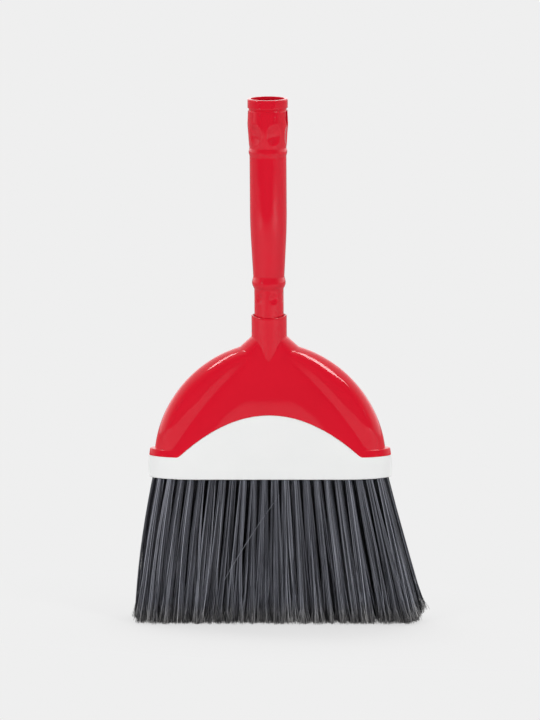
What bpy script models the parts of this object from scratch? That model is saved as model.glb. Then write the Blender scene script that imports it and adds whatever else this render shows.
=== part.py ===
"""Broom: a red fan-shaped head shell, a white bristle block with soft grey tufts, and a hollow red handle.

Metres, +Z up, front towards -Y. The origin is on the floor, under the handle's axis.
The broom stands on the tips of its tufts. The handle plugs into the neck of the shell.
"""
import math

import bmesh
import bpy
from mathutils import Matrix

MM = 0.001

# Clearances
TOUCH_GAP = 0.3 * MM         # between pieces that rest on or face each other
SOCKET_CLEARANCE = 0.5 * MM  # around the handle's tube in the neck

# Bristle block
BLOCK_HALF_WIDTH = 103.8 * MM
BLOCK_HALF_DEPTH = 18 * MM
BAND_HEIGHT = 18.8 * MM
BAND_FILLET = 1.5 * MM       # along the lower edge
END_ROLL = 0.6               # share of the half-width at which the ends begin to round off
ARCH_RISE = 37 * MM
ARCH_END = 26.2 * MM         # from the arch's foot to the block's end
ARCH_FOOT = 1.5 * MM         # rounds the corner at each foot
BLOCK_WALL = 4.7 * MM        # of the arched panels, tongue and all
BLOCK_FLOOR = 3.0 * MM       # over the band, under the hollow
TONGUE_HEIGHT = 5.0 * MM     # of the rim that stands up inside the shell

# Tufts
BRISTLE_LENGTH = 126 * MM    # from the block's underside to the floor
MIDDLE_TUFTS = 23
FRONT_TUFTS = 22             # in the front row, and in the back row
TUFT_END = 7.6 * MM          # from the last middle tuft to the block's end
ROW_PITCH = 10.5 * MM
ROW_EDGE = 4.0 * MM          # from a tuft's centre to the block's edge, at least
TUFT_RADIUS = 2.7 * MM
TUFT_DEPTH = 12 * MM         # of a root in the block
ROOT_SHOWS = 1.0 * MM        # how far a root stands out of the block
ROOT_SIDES = 8
STRIP_HALF_WIDTH = 3.1 * MM  # of the strip that carries the middle row
STRIP_DEPTH = 8 * MM
STRIP_END = 0.6 * MM         # past the last root
OUTER_STRANDS = 4            # round the middle one
STRAND_SIDES = 3
STRAND_RADIUS = 0.8 * MM
STRAND_RING = 1.6 * MM       # from a tuft's centre to its outer strands, at the root
STRAND_SPREAD = 4.2 * MM     # the same at the tips
FLARE_LEFT = 1.155           # how many times wider the tips stand than the roots, towards -X
FLARE_RIGHT = 1.32           # and towards +X
FLARE_DEPTH = 1.6            # and front to back
LIFT_SPAN = 25 * MM          # width of the stretch at each end whose tips clear the floor
LIFT_LEFT = 6 * MM
LIFT_RIGHT = 9 * MM

# Head shell
SHELL_PROUD = 0.3 * MM       # of the block's panels
SHELL_WALL = 2.5 * MM
SIDE_INSET = 4.9 * MM        # of the shell's sides, from the block's ends
FAN_HEIGHT = 102.5 * MM      # from the seam to the neck's root
FAN_POWER = 1.35             # how full the centre is between the block and the neck
WING_STEP = 4.0 * MM         # how far the wings lie behind the centre's face
WING_DROP = 5.5 * MM         # from the neck's root down to the top of the wings
WING_SINK = 4.5 * MM         # of the centre of their outline, under the seam
WING_POWER = 1.93            # of their outline: 2 is an ellipse, and less is slimmer
WING_ROLL = 0.8              # share of the outline at which their edge begins to round off
LEDGE_INSET = 0.9 * MM       # of the ledge at each end, from the block's outline
LEDGE_HEIGHT = 6 * MM
NECK_WALL = 2.05 * MM
NECK_HEIGHT = 18.5 * MM
NECK_DIP = 2.0 * MM          # of the lip, at the front and back
LIP_FLARE = 0.9 * MM         # how much wider the socket is at its lip
LIP_FLARE_DEPTH = 5 * MM
SOCKET_DEPTH = 42 * MM
SOCKET_FLOOR = 3 * MM

# Handle, from its lower end up: each radius is a step from the one before
TUBE_RADIUS = 12.45 * MM     # of the plain end that plugs in
TUBE_WALL = 2.35 * MM
TUBE_SHOWS = 22 * MM         # from the neck's lip to the lower bead
LOWER_BEAD = 1.85 * MM       # proud of the tube
LOWER_BEAD_HEIGHT = 11 * MM
GRIP_FOOT = 0.8 * MM         # proud of the tube
GRIP_SWELL = 2.35 * MM       # how much wider the grip is than its foot
GRIP_WALL = 3.2 * MM
GRIP_LENGTH = 102.7 * MM
SWELL_LENGTH = 57 * MM       # of the grip's lower stretch, where it widens
UPPER_BEAD = 0.7 * MM        # proud of the grip
UPPER_BEAD_HEIGHT = 7 * MM
WAIST_HEIGHT = 6 * MM        # of the plain stretch over the upper bead
TOP_SWELL = 1.6 * MM         # proud of the grip, round the hanging hole
TOP_SWELL_LENGTH = 17 * MM
TOP_HEIGHT = 26 * MM
GROOVE_DEPTH = 1.2 * MM
GROOVE_HEIGHT = 1.6 * MM
RIM_STEP = 0.2 * MM          # how much less the rim stands out than the swell
RIM_HEIGHT = 7.9 * MM
RIM_FILLET = 1.0 * MM
MOUTH_WALL = 2.8 * MM        # round the socket in the handle's top end
MOUTH_DEPTH = 25 * MM
BORE_TAPER = 25 * MM
HANG_HOLE_HEIGHT = 13.5 * MM
HANG_HOLE_WIDTH = 8.6 * MM
HANG_HOLE_DROP = 16.6 * MM   # from the mouth to the hole's centre
HANDLE_TURN = math.radians(-9.5)  # of the handle in the neck
DIMPLES = 6                  # round each end of the grip
UPPER_DIMPLE_HEIGHT = 12 * MM
UPPER_DIMPLE_DEPTH = 2.0 * MM
UPPER_DIMPLE_RISE = 3.3 * MM  # of its centre over the waist
LOWER_DIMPLE_HEIGHT = 9 * MM
LOWER_DIMPLE_DEPTH = 1.4 * MM
LOWER_DIMPLE_DROP = 9 * MM   # of its centre, under the lower bead

# Fineness of the curved surfaces
TURN_STEPS = 40
QUARTER_STEPS = 11
INNER_QUARTER_STEPS = 7
FORM_ROWS = 15
ARCH_STEPS = 32
LIP_STEPS = 12
FILLET_STEPS = 3
BEAD_STEPS = 6
SWELL_STEPS = 6

# Sizes that follow from the ones above
SEAM = BRISTLE_LENGTH + BAND_HEIGHT
NECK_ROOT = SEAM + FAN_HEIGHT
NECK_TOP = NECK_ROOT + NECK_HEIGHT
SOCKET_BOTTOM = NECK_TOP - SOCKET_DEPTH
SOCKET_RADIUS = TUBE_RADIUS + SOCKET_CLEARANCE
NECK_RADIUS = SOCKET_RADIUS + NECK_WALL
SIDE_HALF_WIDTH = BLOCK_HALF_WIDTH - SIDE_INSET
ARCH_HALF_WIDTH = BLOCK_HALF_WIDTH - ARCH_END
TUFT_PITCH = 2 * (BLOCK_HALF_WIDTH - TUFT_END) / (MIDDLE_TUFTS - 1)
HANDLE_BOTTOM = SOCKET_BOTTOM + TOUCH_GAP
LOWER_BEAD_FOOT = SOCKET_DEPTH - TOUCH_GAP + TUBE_SHOWS
GRIP_START = LOWER_BEAD_FOOT + LOWER_BEAD_HEIGHT
UPPER_BEAD_FOOT = GRIP_START + GRIP_LENGTH
WAIST = UPPER_BEAD_FOOT + UPPER_BEAD_HEIGHT
SWELL_START = WAIST + WAIST_HEIGHT
GROOVE = SWELL_START + TOP_HEIGHT
RIM = GROOVE + GROOVE_HEIGHT
HANDLE_LENGTH = RIM + RIM_HEIGHT
GRIP_RADIUS = TUBE_RADIUS + GRIP_FOOT + GRIP_SWELL


def clear_scene():
    for obj in list(bpy.data.objects):
        bpy.data.objects.remove(obj, do_unlink=True)


def new_collection(name, parent):
    collection = bpy.data.collections.new(name)
    parent.children.link(collection)
    return collection


def new_material(name, colour, roughness):
    material = bpy.data.materials.new(name)
    material.use_nodes = True
    shader = material.node_tree.nodes["Principled BSDF"]
    shader.inputs["Base Color"].default_value = (*colour, 1)
    shader.inputs["Roughness"].default_value = roughness
    shader.inputs["Metallic"].default_value = 0
    return material


clear_scene()
BROOM = new_collection("broom", bpy.context.scene.collection)
CUTTERS = new_collection("cutters", bpy.context.scene.collection)
RED_PLASTIC = new_material("red gloss plastic", (0.62, 0.012, 0.026), 0.18)
WHITE_PLASTIC = new_material("white satin plastic", (0.83, 0.84, 0.84), 0.35)
GREY_FILAMENT = new_material("grey filament", (0.055, 0.057, 0.065), 0.5)


def add_object(name, bm, material=None, location=(0, 0, 0), turn=0):
    """A new object from bm, in the broom if it has a material, and else a cutter."""
    bmesh.ops.recalc_face_normals(bm, faces=bm.faces)
    mesh = bpy.data.meshes.new(name)
    bm.to_mesh(mesh)
    bm.free()
    obj = bpy.data.objects.new(name, mesh)
    obj.location = location
    obj.rotation_euler.z = turn
    if material:
        BROOM.objects.link(obj)
        mesh.materials.append(material)
        mesh.shade_smooth()
        mesh.set_sharp_from_angle(angle=math.radians(35))
    else:
        CUTTERS.objects.link(obj)
        obj.hide_render = True
        obj.display_type = "WIRE"
    return obj


def boolean(obj, others, operation="DIFFERENCE"):
    """Cuts the other objects out of obj, or joins them to it, all in one step."""
    group = new_collection(f"{obj.name} {operation.lower()}", CUTTERS)
    for other in others:
        CUTTERS.objects.unlink(other)
        group.objects.link(other)
    modifier = obj.modifiers.new(group.name, "BOOLEAN")
    modifier.operation = operation
    modifier.solver = "EXACT"
    modifier.operand_type = "COLLECTION"
    modifier.collection = group


def turn_profile(obj):
    """Turns the object's profile, which runs down its outer side, round the Z axis."""
    turned = obj.modifiers.new("turned", "SCREW")
    turned.axis = "Z"
    turned.steps = turned.render_steps = TURN_STEPS
    turned.use_merge_vertices = True
    turned.merge_threshold = 0.00001
    turned.use_smooth_shade = True


def profile_mesh(points, closed):
    bm = bmesh.new()
    verts = [bm.verts.new((radius, 0, z)) for radius, z in points]
    for start, end in zip(verts, verts[1:]):
        bm.edges.new((start, end))
    if closed:
        bm.edges.new((verts[-1], verts[0]))
    return bm


def cylinder(bm, radius, start, end, sides, axis="Z", centre=(0, 0, 0)):
    """Adds a cylinder along Z or X, which runs from start to end, measured from centre."""
    place = Matrix.Translation(centre)
    if axis == "X":
        place = place @ Matrix.Rotation(math.pi / 2, 4, "Y")
    place = place @ Matrix.Translation((0, 0, (start + end) / 2))
    bmesh.ops.create_cone(
        bm, cap_ends=True, segments=sides, radius1=radius, radius2=radius, depth=end - start, matrix=place
    )


def prism(outline, way):
    """A flat outline, pulled along way into a solid."""
    bm = bmesh.new()
    face = bm.faces.new([bm.verts.new(point) for point in outline])
    pulled = bmesh.ops.extrude_face_region(bm, geom=[face])["geom"]
    bmesh.ops.translate(bm, verts=[item for item in pulled if isinstance(item, bmesh.types.BMVert)], vec=way)
    return bm


def loft(rings):
    """A closed solid through unlike rings of as many points each, with flat ends.

    Its faces are triangles, so that it stays closed where a cut crosses a flat stretch.
    """
    bm = bmesh.new()
    rows = [[bm.verts.new(point) for point in ring] for ring in rings]
    for lower, upper in zip(rows, rows[1:]):
        for i, corner in enumerate(lower):
            bm.faces.new((lower[i - 1], corner, upper[i], upper[i - 1]))
    bm.faces.new(rows[0])
    bm.faces.new(rows[-1])
    bmesh.ops.triangulate(bm, faces=bm.faces)
    return bm


def fillet_corner(radius):
    """How far in and how far along each point of a quarter-round corner lies, from one side to the other."""
    turns = [math.pi / 2 * i / FILLET_STEPS for i in range(FILLET_STEPS + 1)]
    return [(radius * (1 - math.sin(turn)), radius * (1 - math.cos(turn))) for turn in turns]


def smooth_step(t):
    t = min(max(t, 0), 1)
    return t * t * (3 - 2 * t)


def rolled_depth(share, roll, half_depth):
    """Half the depth at a share of the half-width: flat in the middle, elliptical past roll."""
    t = min(max((share - roll) / (1 - roll), 0), 1)
    return half_depth * math.sqrt(1 - t * t)


def rolled_ring(half_width, depth_at, z, quarter):
    """A level ring, the same front and back, whose half-depth is depth_at(distance from the middle)."""
    xs = [half_width * math.sin(math.pi / 2 * i / quarter) for i in range(-quarter, quarter + 1)]
    front = [(x, -depth_at(abs(x)), z) for x in xs]
    back = [(x, depth_at(abs(x)), z) for x in reversed(xs[1:-1])]
    return front + back


def band_depth(x):
    """Half the block's depth at x, over its lower edge."""
    return rolled_depth(abs(x) / BLOCK_HALF_WIDTH, END_ROLL, BLOCK_HALF_DEPTH)


def band_ring(z, inset, quarter):
    """A level ring of the block's outline, drawn in by inset."""
    width, depth = BLOCK_HALF_WIDTH - inset, BLOCK_HALF_DEPTH - inset
    return rolled_ring(width, lambda x: rolled_depth(x / width, END_ROLL, depth), z, quarter)


def centre_ring(z, inset, quarter):
    """A level ring of the head's full centre, from the block up to the round neck."""
    share = min(max((z - SEAM) / FAN_HEIGHT, 0), 1)
    width = NECK_RADIUS + (SIDE_HALF_WIDTH - NECK_RADIUS) * (1 - share ** FAN_POWER) - inset
    swell = smooth_step((1 - share) * FAN_HEIGHT / (FAN_HEIGHT - ARCH_RISE))
    depth = NECK_RADIUS + (BLOCK_HALF_DEPTH + SHELL_PROUD - NECK_RADIUS) * swell - inset
    roll = END_ROLL * (1 - share)
    return rolled_ring(width, lambda x: rolled_depth(x / width, roll, depth), z, quarter)


def centre_form(inset, quarter, bottom, top):
    """The centre as a solid. Its rings lie at levels that all such forms share, so nested ones match."""
    shared = [SEAM + FAN_HEIGHT * i / FORM_ROWS for i in range(FORM_ROWS + 1)]
    levels = [z for z in shared if bottom + TOUCH_GAP < z < top - TOUCH_GAP]
    return loft([centre_ring(z, inset, quarter) for z in [bottom] + levels + [top]])


def wing_depth(across, rise, depth):
    """Half the wings' depth at a share of their width and of their height."""
    share = (across ** WING_POWER + rise ** WING_POWER) ** (1 / WING_POWER)
    return rolled_depth(share, WING_ROLL, depth)


def wing_form(inset, quarter, rows, bottom):
    """The flat wings as one solid. Their outline is nearly half an ellipse, with a rolled edge.

    The rings crowd towards the top, and the last is just short of the point where the outline closes.
    """
    centre = SEAM - WING_SINK
    top = NECK_ROOT - WING_DROP - inset
    width, height = SIDE_HALF_WIDTH - inset, top - centre
    depth = BLOCK_HALF_DEPTH - WING_STEP - inset
    last_turn = math.radians(87)
    rings = []
    for i in range(rows + 1):
        z = bottom + (top - bottom) * math.sin(last_turn * i / rows)
        rise = max(z - centre, 0) / height
        half_width = width * (1 - rise ** WING_POWER) ** (1 / WING_POWER)
        rings.append(rolled_ring(half_width, lambda x: wing_depth(x / width, rise, depth), z, quarter))
    return loft(rings)


def arch_height(x):
    """Height over the seam of the line between the white panel and the red shell."""
    rise = ARCH_RISE * (1 - (x / ARCH_HALF_WIDTH) ** 2)
    return (rise + math.hypot(rise, ARCH_FOOT)) / 2


def arch_cutter(name, offset, edge):
    """What lies between the arch line, raised by offset, and a level far above or below it."""
    reach = BLOCK_HALF_WIDTH + BLOCK_WALL
    half = ARCH_STEPS // 2
    xs = [reach * math.sin(math.pi / 2 * i / half) for i in range(-half, half + 1)]
    outline = [(x, SEAM + arch_height(x) + offset) for x in xs] + [(reach, edge), (-reach, edge)]
    front = -2 * BLOCK_HALF_DEPTH
    return add_object(name, prism([(x, front, z) for x, z in outline], (0, -2 * front, 0)))


def make_shell():
    """Red shell: neck and socket, full centre, flat wings set back, and a ledge round each end."""
    below = SEAM - BAND_HEIGHT / 2
    shell = add_object("head_shell", centre_form(0, QUARTER_STEPS, below, NECK_TOP), RED_PLASTIC)
    wings = add_object("wings", wing_form(0, QUARTER_STEPS, FORM_ROWS, below))
    ledge_rings = [band_ring(z, LEDGE_INSET, QUARTER_STEPS) for z in (below, SEAM + LEDGE_HEIGHT)]
    boolean(shell, [wings, add_object("ledge", loft(ledge_rings))], "UNION")

    ceiling = SOCKET_BOTTOM + SOCKET_FLOOR
    cavity = add_object(
        "cavity", centre_form(SHELL_WALL, INNER_QUARTER_STEPS, below - SHELL_WALL, ceiling)
    )
    inner_wings = wing_form(SHELL_WALL, INNER_QUARTER_STEPS, FORM_ROWS // 2, below - 2 * SHELL_WALL)
    boolean(cavity, [add_object("inner wings", inner_wings)], "UNION")
    core = bmesh.new()
    cylinder(core, SOCKET_RADIUS + SHELL_WALL, SOCKET_BOTTOM - SOCKET_FLOOR, NECK_TOP, TURN_STEPS)
    boolean(cavity, [add_object("socket core", core)])

    under_arch = arch_cutter("under the arch", TOUCH_GAP, SEAM - BAND_HEIGHT)
    boolean(shell, [cavity, under_arch, make_socket(), add_object("above the lip", lip_form())])


def make_socket():
    """The neck's bore, which widens at its lip."""
    lip_radius = SOCKET_RADIUS + LIP_FLARE
    points = [
        (0, NECK_TOP + NECK_DIP),
        (lip_radius, NECK_TOP + NECK_DIP),
        (lip_radius, NECK_TOP),
        (SOCKET_RADIUS, NECK_TOP - LIP_FLARE_DEPTH),
        (SOCKET_RADIUS, SOCKET_BOTTOM),
        (0, SOCKET_BOTTOM),
    ]
    socket = add_object("socket", profile_mesh(points, closed=False))
    turn_profile(socket)
    return socket


def lip_form():
    """What is cut off above the neck's lip, which dips at the front and back."""
    bend = (NECK_RADIUS ** 2 + NECK_DIP ** 2) / (2 * NECK_DIP)
    reach = NECK_RADIUS + NECK_WALL
    ys = [reach * (2 * i / LIP_STEPS - 1) for i in range(LIP_STEPS + 1)]
    arc = [(y, NECK_TOP - bend + math.sqrt(bend ** 2 - y ** 2)) for y in ys]
    top = NECK_TOP + NECK_HEIGHT
    return prism([(-reach, y, z) for y, z in arc + [(reach, top), (-reach, top)]], (2 * reach, 0, 0))


def tuft_places(count, pitch):
    return [(i - (count - 1) / 2) * pitch for i in range(count)]


def front_row():
    """x and distance from the middle row of each tuft of the front row, from -X to +X."""
    return [(x, min(ROW_PITCH, band_depth(x) - ROW_EDGE)) for x in tuft_places(FRONT_TUFTS, TUFT_PITCH)]


def make_block():
    """White block: a band with the tufts' holes, arched front and back panels, and a tongue inside them."""
    levels = fillet_corner(BAND_FILLET) + [(0, BAND_HEIGHT)]
    band = loft([band_ring(BRISTLE_LENGTH + rise, inset, QUARTER_STEPS) for inset, rise in levels])
    block = add_object("bristle_block", band, WHITE_PLASTIC)

    top = SEAM + ARCH_RISE + 2 * TONGUE_HEIGHT
    under = SEAM - BLOCK_FLOOR
    panels = add_object("panels", centre_form(SHELL_PROUD, QUARTER_STEPS, under, top))
    boolean(panels, [arch_cutter("over the arch", 0, top + BLOCK_WALL)])
    tongue = add_object("tongue", centre_form(SHELL_WALL + TOUCH_GAP, INNER_QUARTER_STEPS, under, top))
    boolean(tongue, [arch_cutter("over the tongue", TONGUE_HEIGHT, top + 2 * BLOCK_WALL)])
    boolean(block, [panels, tongue], "UNION")

    hollow = centre_form(
        SHELL_PROUD + BLOCK_WALL, INNER_QUARTER_STEPS, SEAM + BLOCK_FLOOR, top + BLOCK_WALL
    )
    holes = bmesh.new()
    for x, y in front_row():
        for side in (-1, 1):
            cylinder(holes, TUFT_RADIUS + TOUCH_GAP, -BAND_HEIGHT, TUFT_DEPTH + TOUCH_GAP, ROOT_SIDES,
                     centre=(x, side * y, BRISTLE_LENGTH))
    groove = strip_form(TOUCH_GAP, BAND_HEIGHT)
    cuts = [("block hollow", hollow), ("tuft holes", holes), ("strip groove", groove)]
    boolean(block, [add_object(name, form) for name, form in cuts])


def strip_form(gap, below):
    """The strip that carries the middle row or, with a gap, the groove for it."""
    half_width = STRIP_HALF_WIDTH + gap
    half_length = BLOCK_HALF_WIDTH - TUFT_END + TUFT_RADIUS + STRIP_END + gap
    corner = half_length - half_width
    turns = [math.pi * (i / 6 - 0.5) for i in range(7)]
    right = [(corner + half_width * math.cos(t), half_width * math.sin(t)) for t in turns]
    left = [(-x, -y) for x, y in right]
    bottom = BRISTLE_LENGTH - below
    return prism([(x, y, bottom) for x, y in right + left], (0, 0, STRIP_DEPTH + gap + below))


def flare(x):
    return FLARE_LEFT if x < 0 else FLARE_RIGHT


def tip_height(x):
    """Height of a tip at x: on the floor, but for those near each end."""
    reach = (BLOCK_HALF_WIDTH - TUFT_END) * flare(x) + STRAND_SPREAD
    lift = LIFT_LEFT if x < 0 else LIFT_RIGHT
    return lift * min(max((abs(x) - reach + LIFT_SPAN) / LIFT_SPAN, 0), 1) ** 3


def add_strands(bm, x, y, origin):
    """Adds the strands of the tuft at x, y: straight, spread out at the floor, with level tips."""
    turns = [2 * math.pi * (i + 0.5) / OUTER_STRANDS for i in range(OUTER_STRANDS)]
    for dx, dy in [(0, 0)] + [(math.cos(turn), math.sin(turn)) for turn in turns]:
        tip_x = x * flare(x) + dx * STRAND_SPREAD
        tip = (tip_x, y * FLARE_DEPTH + dy * STRAND_SPREAD, tip_height(tip_x))
        root = (x + dx * STRAND_RING, y + dy * STRAND_RING, BRISTLE_LENGTH + ROOT_SHOWS)
        lean = Matrix.Identity(4)
        for axis in range(3):
            lean[axis][2] = root[axis] - tip[axis]
            lean[axis][3] = (root[axis] + tip[axis]) / 2 - origin[axis]
        bmesh.ops.create_cone(
            bm, cap_ends=True, segments=STRAND_SIDES, radius1=STRAND_RADIUS, radius2=STRAND_RADIUS,
            depth=1, matrix=lean
        )


def make_tuft(name, x, y):
    """One tuft: a round root that sits in its hole, and the strands that grow from it."""
    origin = (x, y, BRISTLE_LENGTH)
    root = bmesh.new()
    cylinder(root, TUFT_RADIUS, -ROOT_SHOWS, TUFT_DEPTH, ROOT_SIDES)
    tuft = add_object(name, root, GREY_FILAMENT, origin)
    strands = bmesh.new()
    add_strands(strands, x, y, origin)
    boolean(tuft, [add_object(f"{name} strands", strands, location=origin)], "UNION")


def make_middle_row():
    """The middle row, whose tufts stand on one strip that is set into the block."""
    row = add_object("tuft_row_middle", strip_form(0, ROOT_SHOWS), GREY_FILAMENT)
    strands = bmesh.new()
    for x in tuft_places(MIDDLE_TUFTS, TUFT_PITCH):
        add_strands(strands, x, 0, (0, 0, 0))
    boolean(row, [add_object("middle strands", strands)], "UNION")


def bead(foot, height, base_under, base_over, proud):
    """A round bead on the handle, from its upper end down, proud of the wider stretch beside it."""
    crest = max(base_under, base_over) + proud
    profile = []
    for i in range(BEAD_STEPS + 1):
        t = i / BEAD_STEPS
        base = base_over + (base_under - base_over) * t
        profile.append((base + (crest - base) * math.sin(math.pi * t), foot + height * (1 - t)))
    return profile


def rim_profile(radius):
    """The rim at the handle's top end, rounded on its outer edge, with the groove under it."""
    points = [(radius - inset, HANDLE_LENGTH - drop) for inset, drop in fillet_corner(RIM_FILLET)]
    groove_radius = GRIP_RADIUS + TOP_SWELL - GROOVE_DEPTH
    return points + [(radius, RIM + RIM_FILLET / 2), (groove_radius, RIM), (groove_radius, GROOVE)]


def handle_profile():
    """Radius and height of the handle's section: down its outside, then up its bore."""
    foot_radius = TUBE_RADIUS + GRIP_FOOT
    rim_radius = GRIP_RADIUS + TOP_SWELL - RIM_STEP
    points = rim_profile(rim_radius)
    points.append((GRIP_RADIUS + TOP_SWELL - RIM_FILLET / 2, GROOVE - RIM_FILLET / 4))
    points.append((GRIP_RADIUS + TOP_SWELL, GROOVE - RIM_FILLET))
    for i in range(SWELL_STEPS, -1, -1):
        t = i / SWELL_STEPS
        points.append((GRIP_RADIUS + TOP_SWELL * smooth_step(t), SWELL_START + TOP_SWELL_LENGTH * t))
    points += bead(UPPER_BEAD_FOOT, UPPER_BEAD_HEIGHT, GRIP_RADIUS, GRIP_RADIUS, UPPER_BEAD)
    for i in range(SWELL_STEPS, 0, -1):
        t = i / SWELL_STEPS
        points.append((foot_radius + GRIP_SWELL * math.sin(math.pi / 2 * t), GRIP_START + SWELL_LENGTH * t))
    points += bead(LOWER_BEAD_FOOT, LOWER_BEAD_HEIGHT, TUBE_RADIUS, foot_radius, LOWER_BEAD - GRIP_FOOT)
    points += [(TUBE_RADIUS, RIM_FILLET), (TUBE_RADIUS - RIM_FILLET, 0)]

    tube_bore = TUBE_RADIUS - TUBE_WALL
    grip_bore = GRIP_RADIUS - GRIP_WALL
    mouth = rim_radius - MOUTH_WALL
    mouth_floor = HANDLE_LENGTH - MOUTH_DEPTH
    shoulder = 2 * (mouth - grip_bore)
    points += [
        (tube_bore, 0),
        (tube_bore, GRIP_START),
        (grip_bore, GRIP_START + BORE_TAPER),
        (grip_bore, mouth_floor - shoulder),
        (mouth, mouth_floor),
        (mouth, HANDLE_LENGTH - RIM_FILLET / 2),
        (mouth + RIM_FILLET / 2, HANDLE_LENGTH),
    ]
    return points


def dimple_cutter(name, z, surface_radius, height, depth):
    """A ring of balls that press round dimples into the handle, one of them under the hanging hole."""
    ball = ((height / 2) ** 2 + depth ** 2) / (2 * depth)
    reach = surface_radius - depth + ball
    balls = bmesh.new()
    for i in range(DIMPLES):
        turn = 2 * math.pi * i / DIMPLES
        place = Matrix.Translation((reach * math.cos(turn), reach * math.sin(turn), z))
        bmesh.ops.create_uvsphere(balls, u_segments=20, v_segments=12, radius=ball, matrix=place)
    return add_object(name, balls, location=(0, 0, HANDLE_BOTTOM), turn=HANDLE_TURN)


def make_handle():
    """Hollow handle, turned from one section, with a hole to hang it by and dimples at both ends."""
    at = (0, 0, HANDLE_BOTTOM)
    handle = add_object("handle", profile_mesh(handle_profile(), closed=True), RED_PLASTIC, at, HANDLE_TURN)
    turn_profile(handle)
    hole = bmesh.new()
    reach = 2 * GRIP_RADIUS
    hole_centre = (0, 0, HANDLE_LENGTH - HANG_HOLE_DROP)
    cylinder(hole, HANG_HOLE_HEIGHT / 2, -reach, reach, TURN_STEPS // 2, "X", hole_centre)
    bmesh.ops.scale(hole, vec=(1, HANG_HOLE_WIDTH / HANG_HOLE_HEIGHT, 1), verts=hole.verts)
    upper_dimples = dimple_cutter(
        "upper dimples", WAIST + UPPER_DIMPLE_RISE, GRIP_RADIUS, UPPER_DIMPLE_HEIGHT, UPPER_DIMPLE_DEPTH
    )
    lower_dimples = dimple_cutter(
        "lower dimples", LOWER_BEAD_FOOT - LOWER_DIMPLE_DROP, TUBE_RADIUS, LOWER_DIMPLE_HEIGHT,
        LOWER_DIMPLE_DEPTH
    )
    hanging_hole = add_object("hanging hole", hole, location=at, turn=HANDLE_TURN)
    boolean(handle, [hanging_hole, upper_dimples, lower_dimples])


make_handle()
make_shell()
make_block()
for number, (tuft_x, tuft_y) in enumerate(front_row(), 1):
    make_tuft(f"tuft_front_{number:02d}", tuft_x, -tuft_y)
    make_tuft(f"tuft_back_{number:02d}", tuft_x, tuft_y)
make_middle_row()
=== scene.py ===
"""Broom: a glossy red shell and handle, a satin white block, and some thousands of soft grey filaments.

Metres, +Z up, front towards -Y. The origin is on the floor, under the handle's axis.
"""
import math

import bmesh
import bpy
import numpy as np
from mathutils import Matrix, Vector


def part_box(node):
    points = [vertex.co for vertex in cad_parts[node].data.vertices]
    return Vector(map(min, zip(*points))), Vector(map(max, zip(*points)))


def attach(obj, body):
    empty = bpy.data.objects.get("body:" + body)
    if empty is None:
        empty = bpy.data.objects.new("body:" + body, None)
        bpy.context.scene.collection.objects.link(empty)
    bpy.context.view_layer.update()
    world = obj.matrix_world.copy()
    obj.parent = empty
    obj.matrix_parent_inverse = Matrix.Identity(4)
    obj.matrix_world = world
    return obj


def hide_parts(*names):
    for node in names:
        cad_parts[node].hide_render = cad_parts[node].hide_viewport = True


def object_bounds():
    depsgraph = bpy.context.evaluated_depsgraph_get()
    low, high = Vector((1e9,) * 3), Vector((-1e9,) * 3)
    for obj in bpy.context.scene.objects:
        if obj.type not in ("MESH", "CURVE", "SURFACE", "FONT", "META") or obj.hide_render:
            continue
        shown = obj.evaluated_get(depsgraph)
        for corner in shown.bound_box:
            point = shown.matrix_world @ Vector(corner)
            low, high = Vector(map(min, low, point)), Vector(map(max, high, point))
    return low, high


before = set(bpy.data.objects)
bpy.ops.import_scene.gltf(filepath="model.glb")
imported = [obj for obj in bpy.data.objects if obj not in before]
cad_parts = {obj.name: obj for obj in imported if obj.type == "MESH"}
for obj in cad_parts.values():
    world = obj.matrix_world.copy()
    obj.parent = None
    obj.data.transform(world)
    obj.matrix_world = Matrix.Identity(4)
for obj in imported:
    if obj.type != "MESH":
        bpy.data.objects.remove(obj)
CAD_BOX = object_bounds()

MM = 0.001
block_low, block_high = (Vector(corner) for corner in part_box("bristle_block"))
shell_high = Vector(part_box("head_shell")[1])
handle_low, handle_high = (Vector(corner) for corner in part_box("handle"))

# Bristle block
BLOCK_HALF_WIDTH = block_high.x
BLOCK_HALF_DEPTH = block_high.y
BRISTLE_LENGTH = block_low.z
BAND_HEIGHT = 18.8 * MM
BAND_FILLET = 1.3 * MM
END_ROLL = 0.6               # share of the band, out from its middle, whose front is flat
ARCH_RISE = 37 * MM
ARCH_END = 26.2 * MM         # from the block's end in to the arch's
ARCH_FOOT = 1.5 * MM         # how softly the arch runs out into the seam
PANEL_BLEND = 7 * MM         # height over which the band's front runs into the arched panel's
BLOCK_WALL = 4.7 * MM
BLOCK_FLOOR = 3.0 * MM
TONGUE_HEIGHT = 5.0 * MM
EDGE_ROUND = 0.35 * MM

# Head shell
TOUCH_GAP = 0.3 * MM         # between pieces that stand against each other
SHELL_PROUD = 0.3 * MM       # how far the shell's centre stands out over the block's panel
SHELL_WALL = 2.5 * MM
SIDE_INSET = 4.9 * MM        # from the block's end in to the shell's side
FAN_HEIGHT = 102.5 * MM
FAN_POWER = 1.35
FAN_TOP_DEPTH = 12.8 * MM    # under the neck's, so that the neck runs down into the fan as a wedge
SLOPE_SHARE = 0.5            # of a slope that runs evenly, before it levels out
CREASE = 9 * MM * MM         # how soft the crease between centre and wing is
WING_STEP = 4.0 * MM         # how far the wing's front lies behind the band's
WING_DROP = 5.5 * MM
WING_POWER = 1.93
WING_SINK = 4.5 * MM
WING_THINNING = 0.1          # share of its depth that the wing loses towards its top
THINNING_POWER = 4
WING_ROLL = 0.8              # share of the wing, out from its centre, that is flat
TOP_ROLL = 0.9               # the same by the neck, where its edge is tighter
TOP_ROLL_START = 0.15        # share of the half-width where TOP_ROLL begins to give way to WING_ROLL
TOP_ROLL_SPAN = 0.5
SIDE_ROLL = 0.87             # the same at the sides, over the ledges
SIDE_ROLL_START = 0.6
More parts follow.
